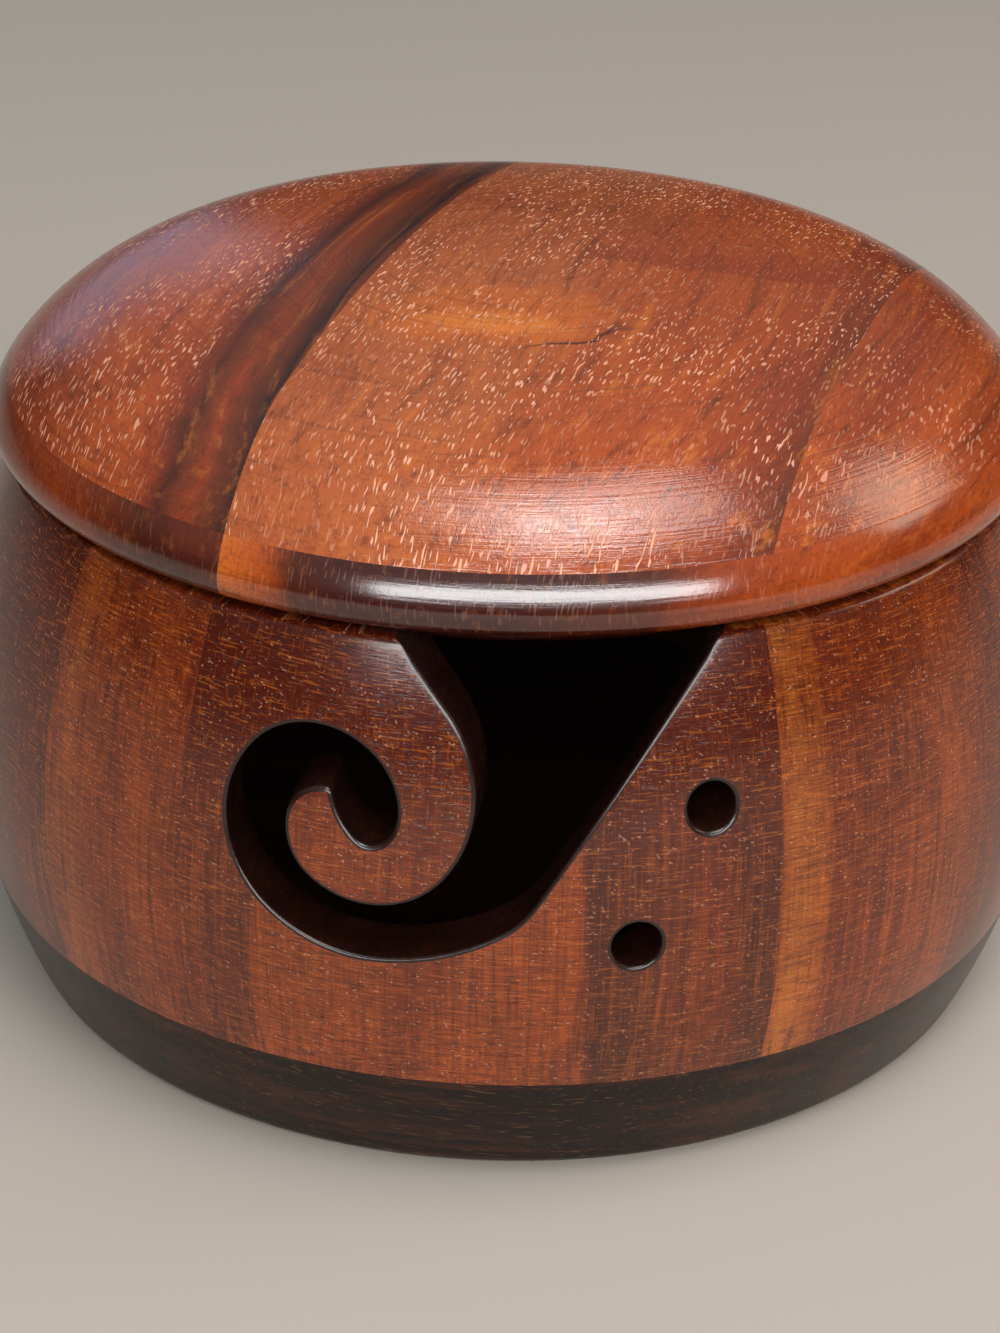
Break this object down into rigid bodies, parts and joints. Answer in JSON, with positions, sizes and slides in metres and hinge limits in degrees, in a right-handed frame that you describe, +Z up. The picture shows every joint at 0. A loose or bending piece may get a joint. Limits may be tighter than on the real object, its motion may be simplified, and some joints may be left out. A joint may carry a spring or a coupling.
{
  "type": "yarn bowl with lid",
  "caption": "Round turned wooden yarn bowl built of glued staves, with a scroll-shaped yarn slot, needle holes and a domed lid that lifts off.",
  "frame": {"origin": "centre of the flat foot that the bowl rests on", "axes": "+Z up along the turning axis; -Y is the front, where the yarn slot and needle holes are; +X is to the right seen from the front"},
  "size_m": [0.1834, 0.1834, 0.1206],
  "materials": {
    "red_brown_stave": "gloss lacquer over red-brown wood",
    "golden_stave": "gloss lacquer over orange-brown wood",
    "dark_stave": "gloss lacquer over dark heartwood",
    "base_wood": "satin lacquer over dark brown wood",
    "lid_red_brown": "gloss lacquer over red-brown wood",
    "lid_golden": "gloss lacquer over orange-brown wood",
    "lid_dark": "gloss lacquer over dark purple-brown wood"
  },
  "bodies": {
    "bowl": {"base_disc": "base_wood", "stave_front_left": "golden_stave", "stave_scroll": "red_brown_stave", "stave_needle_holes": "red_brown_stave", "stave_front_right": "golden_stave", "stave_right_1": "golden_stave", "stave_right_2": "red_brown_stave", "stave_right_3": "golden_stave", "stave_back_1": "dark_stave", "stave_back_2": "golden_stave", "stave_back_3": "red_brown_stave", "stave_back_4": "golden_stave", "stave_back_5": "dark_stave", "stave_left_1": "golden_stave", "stave_left_2": "red_brown_stave", "stave_left_3": "dark_stave"},
    "lid": {"lid_top_left": "lid_red_brown", "lid_top_middle": "lid_golden", "lid_top_right": "lid_golden", "lid_under_left": "lid_dark", "lid_under_middle": "lid_dark", "lid_under_right": "lid_golden"}
  },
  "joints": [
    {"name": "lid_lift", "type": "slide", "parent": "bowl", "child": "lid", "axis": [0, 0, 1], "range_m": [0, 0.08]}
  ]
}
